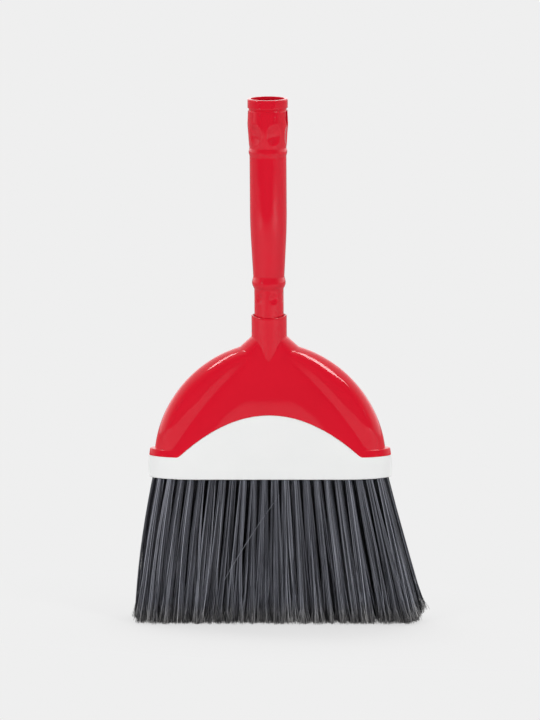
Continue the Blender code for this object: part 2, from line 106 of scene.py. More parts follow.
SIDE_ROLL_SPAN = 0.3
SIDE_BLEND = 25 * MM         # height over which the sides' edge tightens
LEDGE_INSET = 0.5 * MM
LEDGE_TAPER = 0.9 * MM
LEDGE_HEIGHT = 6 * MM
LEDGE_ROUND = 0.7 * MM
NECK_WALL = 2.05 * MM
NECK_DIP = 1.6 * MM
LIP_ROUND = 0.5 * MM
LIP_FLARE = 0.9 * MM
LIP_FLARE_DEPTH = 5 * MM
SOCKET_DEPTH = 42 * MM
SOCKET_FLOOR = 3 * MM
NECK_TOP = shell_high.z

# Handle
SOCKET_CLEARANCE = 0.5 * MM
TUBE_RADIUS = 12.45 * MM
TUBE_WALL = 2.35 * MM
TUBE_SHOWS = 22 * MM
LOWER_BEAD = 1.85 * MM
LOWER_BEAD_HEIGHT = 11 * MM
BEAD_POWER = 1.3             # over 1, so that a small hollow runs along both edges of a bead
GRIP_FOOT = 0.8 * MM
GRIP_SWELL = 2.35 * MM
GRIP_WALL = 3.2 * MM
GRIP_LENGTH = 102.7 * MM
SWELL_LENGTH = 57 * MM
UPPER_BEAD = 0.75 * MM
UPPER_BEAD_HEIGHT = 7 * MM
TOP_SWELL = 1.6 * MM
TOP_SWELL_LENGTH = 22 * MM
TOP_HEIGHT = 32 * MM         # from the waist up to the groove
GROOVE_DEPTH = 1.2 * MM
GROOVE_HEIGHT = 1.6 * MM
RIM_STEP = 0.2 * MM
RIM_FILLET = 1.0 * MM
MOUTH_WALL = 2.8 * MM
MOUTH_DEPTH = 25 * MM
BORE_TAPER = 25 * MM
HANG_HOLE_HEIGHT = 13.5 * MM
HANG_HOLE_WIDTH = 8.6 * MM
HANG_HOLE_DROP = 16.6 * MM
HANG_HOLE_ROUND = 1.2 * MM
HANG_HOLE_SINK = 0.5         # share of HANG_HOLE_ROUND by which the skin sinks in at the hole's edge
HANDLE_TURN = math.radians(-9.5)
DIMPLES = 6
# Rise over the upper bead's crown, height, depth, softness
UPPER_DIMPLE = (13.5 * MM, 11 * MM, 0.55 * MM, 0.35 * MM)
# The same, but from the lower bead's foot
LOWER_DIMPLE = (-7.2 * MM, 9.5 * MM, 1.0 * MM, 0.25 * MM)

# Tufts
MIDDLE_TUFTS = 23
FRONT_TUFTS = 22
TUFT_END = 7.6 * MM
ROW_PITCH = 10.5 * MM
ROW_EDGE = 4.0 * MM
TUFT_RADIUS = 2.7 * MM
TUFT_DEPTH = 12 * MM
ROOT_SHARE = 0.6             # of the holes' depth, up to where the filaments start
TIP_SPREAD = 5.5 * MM        # how far the tips' locks spread sideways from the tuft's middle
DEPTH_SPREAD = 5.5 * MM      # the same, from front to back
DEPTH_REACH = CAD_BOX[1][1] + 0.3 * MM    # no filament's middle line goes further to the front or back
LEAN_LEFT = 18 * MM          # how far the outermost tuft's tip on the left stands out from its root
LEAN_RIGHT = 30.5 * MM
LEFT_POWER = 0.55            # under 1, so that the tufts on the left lean nearly alike
LEFT_BOW = 1.7 * MM          # how far the outermost tuft on the left bends outwards
LEFT_BOW_POWER = 1.2
FLARE_DEPTH = 1.45
LIFT_SPAN = 14 * MM
LIFT_LEFT = 2.5 * MM
LIFT_RIGHT = 9 * MM
LIFT_POWER = 3
GOLDEN_TURN = 2.39996        # from one lock to the next, which spreads them evenly over the tuft
LOCKS = 19                   # in one tuft
LOCK_FILAMENTS = 7           # in one lock
LOCK_ROOT = 0.55 * MM        # half the width of a lock at its root
LOCK_TIP = 0.6 * MM          # how far a filament's tip stands from its lock's, about
FILAMENT_RADIUS = 0.28 * MM
FILAMENT_RADII = (0.85, 1.15)    # the least and the most of that, from one filament to another
END_RADIUS = 0.55            # share of its radius that a filament keeps where its end is split
SPLIT_START = 0.9            # share of a filament's length at which its flagged end begins
SPLIT_BRANCHES = 2
SPLIT_SPREAD = 1.4 * MM
SPLIT_LIFT = 1.0 * MM
SPLIT_POWER = 1.3
SPLIT_RADIUS = 0.5           # of a branch, as a share of the filament's
SPLIT_TIP = 0.6              # share of its radius that a branch keeps at its tip
SPLIT_TONES = (0.05, 0.15)   # how much paler a branch is than its filament, and how much that varies
TIP_WANDER = 2.0 * MM        # how far the locks' tips stray sideways from the round tuft, about
EDGE_WANDER = 2.5 * MM       # the same in the last tuft on the right, whose filaments stand apart
EDGE_POWER = 9               # so high that it holds for the last tufts only
OWN_WANDER = 0.6             # how far a filament strays by itself, as a share of how far its lock does
TUFT_LEAN = 1.1 * MM         # how far a whole tuft's tip stands from its place, about
LEFT_REACH = 2.5 * MM        # how far the loosest filament on the left ends past the strands
RIGHT_REACH = 5 * MM
UNEVEN_CUT = 1.2 * MM        # how much shorter than the longest a filament is, about
SHORT_SHARE = 0.12           # share of the filaments that are up to SHORT_CUT shorter still
SHORT_CUT = 6 * MM
LOCK_CUT = 0.5 * MM          # how much shorter a whole lock is, about
LOCK_BOW = 0.6 * MM          # how far a lock bends to one side, about
OWN_BOW = 0.2 * MM           # the same for a filament by itself
WAVE = 0.22 * MM             # how far a filament winds to and fro near its tip, about
WAVE_TURN = 2.4 * math.pi    # how far that wave turns from root to tip
CROSSING = ((8, -13, 112), (-39.5, -20.6, 39))   # ends of the filament that lies across the others, in mm
CROSSING_TUFT = 12           # the front tuft that it belongs to
CROSSING_BOW = 1.5 * MM
CROSSING_TONE = 0.95
CROSSING_ALONG = 0.8         # its far end's share of the length, which keeps it clear of the paler ends
OUTER_TONE = 0.51            # of the front and back rows, from black to pale grey
MIDDLE_PAINTED_SHADE_TONE = 0.26           # of the row between them: darker, a painted shade for the shade that the front and back rows cast on it
LOCK_TONES = 0.07            # how much the tone varies from lock to lock
OWN_TONES = 0.27             # how much it varies from filament to filament
PALEST = 0.99
TONE_WIDTH = 1 / 256         # of one filament's place in the tone map

# Sizes that follow from the ones above
SEAM = BRISTLE_LENGTH + BAND_HEIGHT
NECK_ROOT = SEAM + FAN_HEIGHT
SOCKET_RADIUS = TUBE_RADIUS + SOCKET_CLEARANCE
NECK_RADIUS = SOCKET_RADIUS + NECK_WALL
SOCKET_BOTTOM = NECK_TOP - SOCKET_DEPTH
SIDE_HALF_WIDTH = BLOCK_HALF_WIDTH - SIDE_INSET
ARCH_HALF_WIDTH = BLOCK_HALF_WIDTH - ARCH_END
TUFT_PITCH = 2 * (BLOCK_HALF_WIDTH - TUFT_END) / (MIDDLE_TUFTS - 1)
HANDLE_BOTTOM = handle_low.z
HANDLE_LENGTH = handle_high.z - handle_low.z
LOWER_BEAD_FOOT = SOCKET_DEPTH - TOUCH_GAP + TUBE_SHOWS
GRIP_START = LOWER_BEAD_FOOT + LOWER_BEAD_HEIGHT
UPPER_BEAD_FOOT = GRIP_START + GRIP_LENGTH
WAIST = UPPER_BEAD_FOOT + UPPER_BEAD_HEIGHT
GROOVE = WAIST + TOP_HEIGHT
RIM = GROOVE + GROOVE_HEIGHT
GRIP_FOOT_RADIUS = TUBE_RADIUS + GRIP_FOOT
GRIP_RADIUS = TUBE_RADIUS + GRIP_FOOT + GRIP_SWELL
TOP_RADIUS = GRIP_RADIUS + TOP_SWELL
RIM_RADIUS = TOP_RADIUS - RIM_STEP
GROOVE_FILLET = RIM_FILLET / 2

# Fineness
QUARTER_STEPS = 64           # of the shell's rings, from the middle of the front to the side
SIDE_SHARE = 0.97            # share of a ring's half-width where its points' outer half starts at the latest
RING_REACH = 4 * MM          # how far past the shell's side the search for a ring's end goes
ARCH_FADE = 0.9              # share of the fan's height over which its rings' arch flattens out
SHELL_ROW = 0.65 * MM
SHELL_INNER_ROWS = 24
BAND_ROWS = 56
EDGE_STEPS = 3
ROUND_STEPS = 4
FILLET_STEPS = 6
TURN_STEPS = 168
PROFILE_STEP = 0.8 * MM
BORE_STEP = 6 * MM
SWELL_STEPS = 30
BEAD_STEPS = 20
FILAMENT_STEPS = 9
SPLIT_STEPS = 3
TUFT_HOLE_STEPS = 24
HANG_HOLE_STEPS = 64
HALVINGS = 40                # of the span in which a form's end or crease is searched for
MERGE_DISTANCE = 0.004 * MM
SHARP_ANGLE = math.radians(35)
FILAMENT_SHARP_ANGLE = math.radians(90)


def smooth_step(t):
    t = min(max(t, 0), 1)
    return t * t * (3 - 2 * t)


def ease_out(t):
    """From 0 to 1: a straight slope that levels out over the last part."""
    t = min(max(t, 0), 1)
    past = max(t - SLOPE_SHARE, 0)
    return 2 * (t - past * past / (2 * (1 - SLOPE_SHARE))) / (1 + SLOPE_SHARE)


def soft_max(a, b, k):
    """The larger of two values, rounded off where they are within k of each other."""
    return max(a, b) + max(k - abs(a - b), 0) ** 2 / (4 * k)


def solve(sign_at, low, high):
    """Where sign_at goes from positive at low to negative at high."""
    for _ in range(HALVINGS):
        middle = (low + high) / 2
        if sign_at(middle) > 0:
            low = middle
        else:
            high = middle
    return low


def quarter_round(radius, steps):
    """How far in and how far along each point of a rounded edge lies, from its side to its face."""
    turns = [math.pi / 2 * i / steps for i in range(steps + 1)]
    return [(radius * (1 - math.cos(turn)), radius * (1 - math.sin(turn))) for turn in turns]


def half_depth(square):
    """The half-depth that has this square, or 0 past the end of the form."""
    return math.sqrt(max(square, 0))


def rolled_square(share, roll, depth):
    """The square of half the depth: flat in the middle, elliptical past roll, negative past the end."""
    t = max((share - roll) / (1 - roll), 0)
    return depth * depth * (1 - t * t)


def band_square(x, inset):
    """Square of the half-depth of the block's band."""
    width = BLOCK_HALF_WIDTH - inset
    return rolled_square(x / width, END_ROLL, BLOCK_HALF_DEPTH - inset)


def centre_square(x, z, inset):
    """Square of the half-depth of the shell's full centre, which runs up into the round neck."""
    share = min(max((z - SEAM) / FAN_HEIGHT, 0), 1)
    width = NECK_RADIUS + (SIDE_HALF_WIDTH - NECK_RADIUS) * (1 - share ** FAN_POWER) - inset
    fallen = (1 - share) * FAN_HEIGHT / (FAN_HEIGHT - ARCH_RISE)
    depth = FAN_TOP_DEPTH + (BLOCK_HALF_DEPTH + SHELL_PROUD - FAN_TOP_DEPTH) * ease_out(fallen) - inset
    neck = (NECK_RADIUS - inset) ** 2 - x * x
    return max(rolled_square(x / width, END_ROLL * (1 - share), depth), neck)


def wing_square(x, z, inset):
    """Square of the half-depth of the shell's flat wings."""
    centre = SEAM - WING_SINK
    width = SIDE_HALF_WIDTH - inset
    height = NECK_ROOT - WING_DROP - inset - centre
    rise = max(z - centre, 0) / height
    across = abs(x / width)
    share = (across ** WING_POWER + rise ** WING_POWER) ** (1 / WING_POWER)
    roll = TOP_ROLL + (WING_ROLL - TOP_ROLL) * smooth_step((across - TOP_ROLL_START) / TOP_ROLL_SPAN)
    over_ledge = smooth_step((z - SEAM - LEDGE_HEIGHT) / SIDE_BLEND)
    roll += (SIDE_ROLL - WING_ROLL) * smooth_step((across - SIDE_ROLL_START) / SIDE_ROLL_SPAN) * over_ledge
    depth = (BLOCK_HALF_DEPTH - WING_STEP) * (1 - WING_THINNING * rise ** THINNING_POWER) - inset
    return rolled_square(share, roll, depth)


def shell_square(x, z, inset):
    return soft_max(centre_square(x, z, inset), wing_square(x, z, inset), CREASE)


def arch_height(x):
    """Height over the seam of the line between the white panel and the red shell."""
    rise = ARCH_RISE * (1 - (x / ARCH_HALF_WIDTH) ** 2)
    return (rise + math.hypot(rise, ARCH_FOOT)) / 2


def ring(half, place):
    """A closed ring that is the same front and back, through place(x) = (half-depth, z) at each x."""
    points = [(x, *place(x)) for x in half]
    right = [(x, -depth, z) for x, depth, z in points]
    left = [(-x, -depth, z) for x, depth, z in reversed(points[1:])]
    front = left + right
    return front + [(x, -y, z) for x, y, z in reversed(front[1:-1])]


def spread(start, end, steps, both_ends=False):
    """Values from start to end that crowd towards the end, or towards both ends."""
    if both_ends:
        return [start + (end - start) * (1 - math.cos(math.pi * i / steps)) / 2 for i in range(steps + 1)]
    return [start + (end - start) * math.sin(math.pi / 2 * i / steps) for i in range(steps + 1)]


def smooth(mesh, sharp=SHARP_ANGLE):
    """Shade it smooth, but for the edges that turn by more than sharp."""
    mesh.shade_smooth()
    mesh.set_sharp_from_angle(angle=sharp)


def new_object(name, mesh, material, sharp=SHARP_ANGLE):
    obj = bpy.data.objects.new(name, mesh)
    bpy.context.scene.collection.objects.link(obj)
    if material:
        mesh.materials.append(material)
    smooth(mesh, sharp)
    return obj


def closed_mesh(name, verts, faces):
    """A mesh with doubled points merged and all its faces turned outwards."""
    mesh = bpy.data.meshes.new(name)
    mesh.from_pydata(verts, [], faces)
    bm = bmesh.new()
    bm.from_mesh(mesh)
    bmesh.ops.remove_doubles(bm, verts=bm.verts, dist=MERGE_DISTANCE)
    bmesh.ops.recalc_face_normals(bm, faces=bm.faces)
    bm.to_mesh(mesh)
    bm.free()
    return mesh


def loft(name, rings, material=None):
    """A closed body through rings of as many points each, with flat ends."""
    count = len(rings[0])
    faces = [tuple(range(count)), tuple(range(len(rings) * count - count, len(rings) * count))]
    for row in range(len(rings) - 1):
        for i in range(count):
            a, b = row * count + (i - 1) % count, row * count + i
            faces.append((a, b, b + count, a + count))
    verts = [point for points in rings for point in points]
    return new_object(name, closed_mesh(name, verts, faces), material)


def cylinders(name, radius, depth, steps, places):
    """One object with a cylinder at each place, to cut holes with."""
    bm = bmesh.new()
    for place in places:
        bmesh.ops.create_cone(bm, cap_ends=True, segments=steps, radius1=radius, radius2=radius,
                              depth=depth, matrix=place)
    mesh = bpy.data.meshes.new(name)
    bm.to_mesh(mesh)
    bm.free()
    return new_object(name, mesh, None)


def apply_modifiers(obj):
    graph = bpy.context.evaluated_depsgraph_get()
    mesh = bpy.data.meshes.new_from_object(obj.evaluated_get(graph), depsgraph=graph)
    obj.modifiers.clear()
    obj.data = mesh
    smooth(mesh)


def boolean(obj, other, operation="DIFFERENCE"):
    modifier = obj.modifiers.new(operation.lower(), "BOOLEAN")
    modifier.operation = operation
    modifier.solver = "EXACT"
    modifier.object = other
    apply_modifiers(obj)
    bpy.data.objects.remove(other, do_unlink=True)


def node(tree, kind, **inputs):
    """A new shader node. Each input is set from a value or from another node's output.

    An input goes by its name, or by i and its number.
    """
    made = tree.nodes.new(kind)
    for name, value in inputs.items():
        socket = made.inputs[int(name[1:])] if name[0] == "i" and name[1:].isdigit() else made.inputs[name]
        if isinstance(value, bpy.types.NodeSocket):
            tree.links.new(value, socket)
        else:
            socket.default_value = value
    return made


def math_node(tree, operation, *values):
    made = node(tree, "ShaderNodeMath", **{f"i{i}": value for i, value in enumerate(values)})
    made.operation = operation
    return made.outputs[0]


def new_material(name):
    material = bpy.data.materials.new(name)
    material.use_nodes = True
    shader = material.node_tree.nodes["Principled BSDF"]
    return material, material.node_tree, shader


def ramp(tree, value, *stops):
    made = node(tree, "ShaderNodeValToRGB", Fac=value)
    elements = made.color_ramp.elements
    while len(elements) < len(stops):
        elements.new(0.5)
    for element, (position, colour) in zip(elements, stops):
        element.position = position
        element.color = (*colour, 1)
    return made.outputs["Color"]


def grey(level):
    return (level, level, level)


def grey_ramp(tree, value, stops):
    return ramp(tree, value, *[(position, grey(level)) for position, level in stops])


def plastic(name, colours, roughness, grain, bump):
    """Moulded plastic: faint clouds in its colour, uneven gloss, and a skin that isn't quite flat."""
    material, tree, shader = new_material(name)
    place = tree.nodes.new("ShaderNodeTexCoord").outputs["Object"]
    clouds = node(tree, "ShaderNodeTexNoise", Vector=place, Scale=22, Detail=3)
    specks = node(tree, "ShaderNodeTexNoise", Vector=place, Scale=grain, Detail=4)
    tree.links.new(ramp(tree, clouds.outputs["Fac"], (0.3, colours[0]), (0.7, colours[1])),
                   shader.inputs["Base Color"])
    gloss = grey_ramp(tree, specks.outputs["Fac"], ((0.35, roughness[0]), (0.7, roughness[1])))
    tree.links.new(gloss, shader.inputs["Roughness"])
    skin = node(tree, "ShaderNodeBump", Strength=bump, Distance=0.0002, Height=specks.outputs["Fac"])
    tree.links.new(skin.outputs["Normal"], shader.inputs["Normal"])
    shader.inputs["IOR"].default_value = 1.48
    return material


def filament_material():
    """Grey filaments: each has its own tone, and the flagged ends are paler."""
    material, tree, shader = new_material("grey filament")
    place = tree.nodes.new("ShaderNodeUVMap")
    place.uv_map = "OFBake"
    parts = node(tree, "ShaderNodeSeparateXYZ", Vector=place.outputs["UV"])
    tone, along = parts.outputs["X"], parts.outputs["Y"]
    body = ramp(tree, tone, (0, (0.02, 0.021, 0.025)), (0.5, (0.104, 0.107, 0.128)), (1, (0.34, 0.35, 0.40)))
    ends = ramp(tree, tone, (0.1, (0.02, 0.02, 0.02)), (0.5, (0.08, 0.078, 0.078)), (1, (0.46, 0.45, 0.44)))
    fade = grey_ramp(tree, along, ((0.86, 0), (1, 1)))
    mix = node(tree, "ShaderNodeMix")
    mix.data_type = "RGBA"
    for value, socket in ((fade, 0), (body, 6), (ends, 7)):
        tree.links.new(value, mix.inputs[socket])
    tree.links.new(mix.outputs[2], shader.inputs["Base Color"])
    shader.inputs["Roughness"].default_value = 0.42
    shader.inputs["IOR"].default_value = 1.5
    return material


def shell_ring(z0, inset):
    """A ring of the shell's form. Its lines follow the arch low down and the crease between the forms."""
    fade = max(1 - (z0 - SEAM) / (ARCH_FADE * FAN_HEIGHT), 0)
    low_width = SIDE_HALF_WIDTH - inset
    end = solve(lambda x: shell_square(x, z0, inset), 0, SIDE_HALF_WIDTH + RING_REACH)

    def level(x):
        return z0 + arch_height(x / end * low_width) * fade

    def is_centre(x):
        z = level(x)
        return centre_square(x, z, inset) - wing_square(x, z, inset)

    crease = min(solve(is_centre, 0, end), SIDE_SHARE * end)
    half = spread(0, crease, QUARTER_STEPS // 2) + spread(crease, end, QUARTER_STEPS // 2, True)[1:]

    def place(x):
        z = level(x)
        depth = half_depth(shell_square(x, z, inset)) if x < end else 0
        if z0 > NECK_ROOT:
            z -= lip_dip(depth) * (z0 - NECK_ROOT) / (NECK_TOP - NECK_ROOT)
        return depth, z

    return ring(half, place)


def lip_dip(y):
    """How much lower the neck's lip is at y than at its sides."""
    return NECK_DIP * (y / NECK_RADIUS) ** 2


def bore_ring(radius, z, dip):
    """A round ring with as many points as the shell's others, which takes that share of the lip's dip."""
    half = spread(0, SIDE_SHARE * radius, QUARTER_STEPS // 2)
    half += spread(SIDE_SHARE * radius, radius, QUARTER_STEPS // 2, True)[1:]

    def place(x):
        depth = half_depth(radius * radius - x * x)
        return depth, z - lip_dip(depth) * dip

    return ring(half, place)


def make_shell(material):
    """The shell as one closed body: up the inside, round the lower edge, up the outside, down the bore."""
    low = SEAM + TOUCH_GAP
    ceiling = SOCKET_BOTTOM - SOCKET_FLOOR
    rings = []
    for i in range(SHELL_INNER_ROWS):
        rings.append(shell_ring(ceiling + (low - ceiling) * i / SHELL_INNER_ROWS, SHELL_WALL))
    rings += [shell_ring(low, SHELL_WALL)]
    rings += [shell_ring(low + rise, inset) for rise, inset in quarter_round(EDGE_ROUND, EDGE_STEPS)]
    rows = round((NECK_TOP - LIP_ROUND - low - EDGE_ROUND) / SHELL_ROW)
    start = low + EDGE_ROUND
    rings += [shell_ring(start + (NECK_TOP - LIP_ROUND - start) * i / rows, 0) for i in range(1, rows + 1)]
    for inset, drop in quarter_round(LIP_ROUND, ROUND_STEPS)[1:]:
        rings.append(bore_ring(NECK_RADIUS - inset, NECK_TOP - drop, 1))
    lip_radius = SOCKET_RADIUS + LIP_FLARE
    for inset, drop in reversed(quarter_round(LIP_ROUND, ROUND_STEPS)):
        rings.append(bore_ring(lip_radius + inset, NECK_TOP - drop, 1))
    rings.append(bore_ring(SOCKET_RADIUS, NECK_TOP - LIP_FLARE_DEPTH, 0))
    rings.append(bore_ring(SOCKET_RADIUS, SOCKET_BOTTOM, 0))
    shell = loft("shell", rings, material)
    boolean(shell, make_ledge(low), "UNION")
    return shell


def make_ledge(low):
    """The ledges at both ends, as one band round the shell whose inside is cut away within its wall."""
    overlap = 0.05 * MM
    levels = [(low - overlap, 0)]
    for inset, drop in quarter_round(LEDGE_ROUND, ROUND_STEPS):
        levels.append((SEAM + LEDGE_HEIGHT - drop, inset))
    rings = []
    for z, inset in levels:
        taper = LEDGE_INSET + LEDGE_TAPER * (z - SEAM) / LEDGE_HEIGHT + inset
        half = spread(0, BLOCK_HALF_WIDTH - taper, QUARTER_STEPS)
        rings.append(ring(half, lambda x: (half_depth(band_square(x, taper)), z)))
    ledge = loft("ledge", rings)
    past = 1 * MM
    rings = []
    for z in (low - past, SEAM + LEDGE_HEIGHT + past):
        half = spread(0, SIDE_HALF_WIDTH - SHELL_WALL / 2, QUARTER_STEPS)
        rings.append(ring(half, lambda x: (half_depth(shell_square(x, z, SHELL_WALL / 2)), z)))
    boolean(ledge, loft("inside of the ledge", rings))
    return ledge


def block_front(x, z):
    """Square of the block's half-depth: the band's outline low down, the centre form's over the seam."""
    panel = centre_square(x, z, SHELL_PROUD)
    share = smooth_step((z - SEAM + PANEL_BLEND) / (2 * PANEL_BLEND))
    near_end = smooth_step((x - ARCH_HALF_WIDTH) / ARCH_END)
    return band_square(x, 0) * (1 - share + share * near_end) + panel * share * (1 - near_end)


def make_block(material):
    """The block as one closed body: round its lower edge, up its front, over the tongue, and down inside."""
    end = BLOCK_HALF_WIDTH
    rings = []
    for inset, rise in reversed(quarter_round(BAND_FILLET, FILLET_STEPS)[1:]):
        half = spread(0, end - inset, 2 * QUARTER_STEPS)
        level = BRISTLE_LENGTH + rise
        rings.append(ring(half, lambda x: (half_depth(band_square(x, inset)), level)))
    half = spread(0, end, 2 * QUARTER_STEPS)
    low = BRISTLE_LENGTH + BAND_FILLET
    for row in range(BAND_ROWS + 1):
        share = row / BAND_ROWS

        def place(x):
            z = low + (SEAM + arch_height(x) - EDGE_ROUND - low) * share
            return (half_depth(block_front(x, z)) if x < end else 0), z

        rings.append(ring(half, place))
    for inset, drop in quarter_round(EDGE_ROUND, EDGE_STEPS)[1:]:
        half_in = spread(0, end - inset, 2 * QUARTER_STEPS)

        def edge(x):
            z = SEAM + arch_height(x) - drop
            return (max(half_depth(block_front(x, z)) - inset, 0) if x < end - inset else 0), z

        rings.append(ring(half_in, edge))
    outer, inner = SHELL_WALL + TOUCH_GAP, SHELL_PROUD + BLOCK_WALL
    for inset, rise in ((outer, 0), (outer, TONGUE_HEIGHT), (inner, TONGUE_HEIGHT), (inner, None)):
        width = SIDE_HALF_WIDTH - inset

        def inside(x):
            z = SEAM + BLOCK_FLOOR if rise is None else SEAM + arch_height(x) + rise
            return (half_depth(centre_square(x, min(z, SEAM + ARCH_RISE), inset)) if x < width else 0), z

        rings.append(ring(spread(0, width, 2 * QUARTER_STEPS), inside))
    block = loft("block", rings, material)
    places = [Matrix.Translation((x, y, BRISTLE_LENGTH)) for x, y in tuft_places()]
    boolean(block, cylinders("holes", TUFT_RADIUS + TOUCH_GAP, 2 * TUFT_DEPTH, TUFT_HOLE_STEPS, places))
    return block


def bead(foot, height, base_under, base_over, proud):
    """A round bead, from its upper end down, with a small hollow at both its edges."""
    crest = max(base_under, base_over) + proud
    profile = []
    for i in range(BEAD_STEPS + 1):
        t = i / BEAD_STEPS
        base = base_over + (base_under - base_over) * smooth_step(t)
        swell = math.sin(math.pi * t) ** BEAD_POWER
        profile.append((base + (crest - base) * swell, foot + height * (1 - t)))
    return profile


def rim_and_groove():
    """Radius and height of the handle's outside, from the mouth's edge down to under the groove."""
    rim_edge = quarter_round(RIM_FILLET, FILLET_STEPS)
    groove_edge = quarter_round(GROOVE_FILLET, ROUND_STEPS)
    groove_radius = TOP_RADIUS - GROOVE_DEPTH
    points = [(RIM_RADIUS - inset, HANDLE_LENGTH - drop) for drop, inset in rim_edge]
    points += [(RIM_RADIUS - inset, RIM + drop) for inset, drop in groove_edge]
    points += [(groove_radius, RIM), (groove_radius, GROOVE)]
    points += [(TOP_RADIUS - GROOVE_FILLET - inset, GROOVE - drop) for drop, inset in groove_edge]
    return points


def handle_profile():
    """Radius and height all round the handle's wall, and how many of the points are on its outside."""
    points = rim_and_groove()
    for i in range(SWELL_STEPS, -1, -1):
        t = i / SWELL_STEPS
        points.append((GRIP_RADIUS + TOP_SWELL * (1 - (1 - t) ** 2), WAIST + TOP_SWELL_LENGTH * t))
    points += bead(UPPER_BEAD_FOOT, UPPER_BEAD_HEIGHT, GRIP_RADIUS, GRIP_RADIUS, UPPER_BEAD)
    for i in range(SWELL_STEPS, 0, -1):
        t = i / SWELL_STEPS
        points.append((GRIP_FOOT_RADIUS + GRIP_SWELL * ease_out(t), GRIP_START + SWELL_LENGTH * t))
    points += bead(LOWER_BEAD_FOOT, LOWER_BEAD_HEIGHT, TUBE_RADIUS, GRIP_FOOT_RADIUS, LOWER_BEAD - GRIP_FOOT)
    points += [(TUBE_RADIUS, RIM_FILLET), (TUBE_RADIUS - RIM_FILLET, 0)]
    outside = len(points)

    tube_bore = TUBE_RADIUS - TUBE_WALL
    grip_bore = GRIP_RADIUS - GRIP_WALL
    mouth = RIM_RADIUS - MOUTH_WALL
    mouth_floor = HANDLE_LENGTH - MOUTH_DEPTH
    points += [
        (tube_bore, 0),
        (tube_bore, GRIP_START),
        (grip_bore, GRIP_START + BORE_TAPER),
        (grip_bore, mouth_floor - 2 * (mouth - grip_bore)),
        (mouth, mouth_floor),
    ]
    mouth_edge = quarter_round(GROOVE_FILLET, ROUND_STEPS)
    points += [(mouth + inset, HANDLE_LENGTH - drop) for inset, drop in mouth_edge]
    return points, outside


def subdivided(points, longest):
    """The same line with points between, so that no stretch is over longest."""
    fine = []
    for (r0, z0), (r1, z1) in zip(points, points[1:]):
        steps = max(math.ceil(math.hypot(r1 - r0, z1 - z0) / longest), 1)
        fine += [(r0 + (r1 - r0) * i / steps, z0 + (z1 - z0) * i / steps) for i in range(steps)]
    return fine + [points[-1]]


def dimple_radius(turn, z, height, depth, surface):
    """Radius at which the line from the axis first meets the nearest dimple's ball, or None if it misses."""
    ball = ((height / 2) ** 2 + depth ** 2) / (2 * depth)
    reach = surface - depth + ball
    pitch = 2 * math.pi / DIMPLES
    away = (turn + pitch / 2) % pitch - pitch / 2
    across = reach * math.sin(away)
    under = ball * ball - across * across - z * z
    if under <= 0 or abs(away) > pitch / 2:
        return None
    return reach * math.cos(away) - math.sqrt(under)


def make_handle(material):
    """The handle as one turned body, pressed in at the dimples, with its hanging hole cut through."""
    points, outside = handle_profile()
    outer = subdivided(points[:outside], PROFILE_STEP)
    inner = subdivided(points[outside:], BORE_STEP)
    rows = [(radius, z, True) for radius, z in outer] + [(radius, z, False) for radius, z in inner]
    centres = (
        (WAIST - UPPER_BEAD_HEIGHT / 2, GRIP_RADIUS, UPPER_DIMPLE),
        (LOWER_BEAD_FOOT, TUBE_RADIUS, LOWER_DIMPLE),
    )
    hole_z = HANDLE_LENGTH - HANG_HOLE_DROP
    verts, faces = [], []
    for radius, z, is_outside in rows:
        for i in range(TURN_STEPS):
            turn = 2 * math.pi * i / TURN_STEPS
            world_turn = turn + HANDLE_TURN
            r = radius
            if is_outside:
                for from_z, surface, (rise, height, depth, softness) in centres:
                    pressed = dimple_radius(turn, z - from_z - rise, height, depth, surface)
                    if pressed is not None:
                        r = -soft_max(-r, -pressed, softness)
                away = math.hypot(r * math.sin(turn) * HANG_HOLE_HEIGHT / HANG_HOLE_WIDTH, z - hole_z)
                edge = min(max(1 - (away - HANG_HOLE_HEIGHT / 2) / HANG_HOLE_ROUND, 0), 1)
                r -= HANG_HOLE_SINK * HANG_HOLE_ROUND * edge * edge
            verts.append((r * math.cos(world_turn), r * math.sin(world_turn), z + HANDLE_BOTTOM))
    for row in range(len(rows)):
        here = row * TURN_STEPS
        over = (row + 1) % len(rows) * TURN_STEPS
        for i in range(TURN_STEPS):
            j = (i + 1) % TURN_STEPS
            faces.append((here + i, here + j, over + j, over + i))
    handle = new_object("handle_skin", closed_mesh("handle skin", verts, faces), material)
    place = Matrix.Translation((0, 0, HANDLE_BOTTOM + hole_z)) @ Matrix.Rotation(HANDLE_TURN, 4, "Z")
    oval = Matrix.Diagonal((1, HANG_HOLE_WIDTH / HANG_HOLE_HEIGHT, 1, 1))
    place = place @ oval @ Matrix.Rotation(math.pi / 2, 4, "Y")
    hole = cylinders("hanging hole", HANG_HOLE_HEIGHT / 2, 4 * GRIP_RADIUS, HANG_HOLE_STEPS, [place])
    boolean(handle, hole)
    return handle


def row_places(count):
    """x of each tuft of a row with that many tufts."""
    return [(i - (count - 1) / 2) * TUFT_PITCH for i in range(count)]


def outer_row():
    """x and distance from the middle row of each tuft of the front row, from -X to +X."""
    row = []
    for x in row_places(FRONT_TUFTS):
        edge = math.sqrt(band_square(abs(x), 0)) - ROW_EDGE
        row.append((x, min(ROW_PITCH, edge)))
    return row


def tuft_places():
    """x and y of the root of each tuft."""
    outer = outer_row()
    return [(x, -y) for x, y in outer] + [(x, 0) for x in row_places(MIDDLE_TUFTS)] + outer


def tip_place(x):
    """x of a tuft's tip, from the x of its root."""
    share = abs(x) / (BLOCK_HALF_WIDTH - TUFT_END)
    return x - LEAN_LEFT * share ** LEFT_POWER if x < 0 else x + LEAN_RIGHT * share


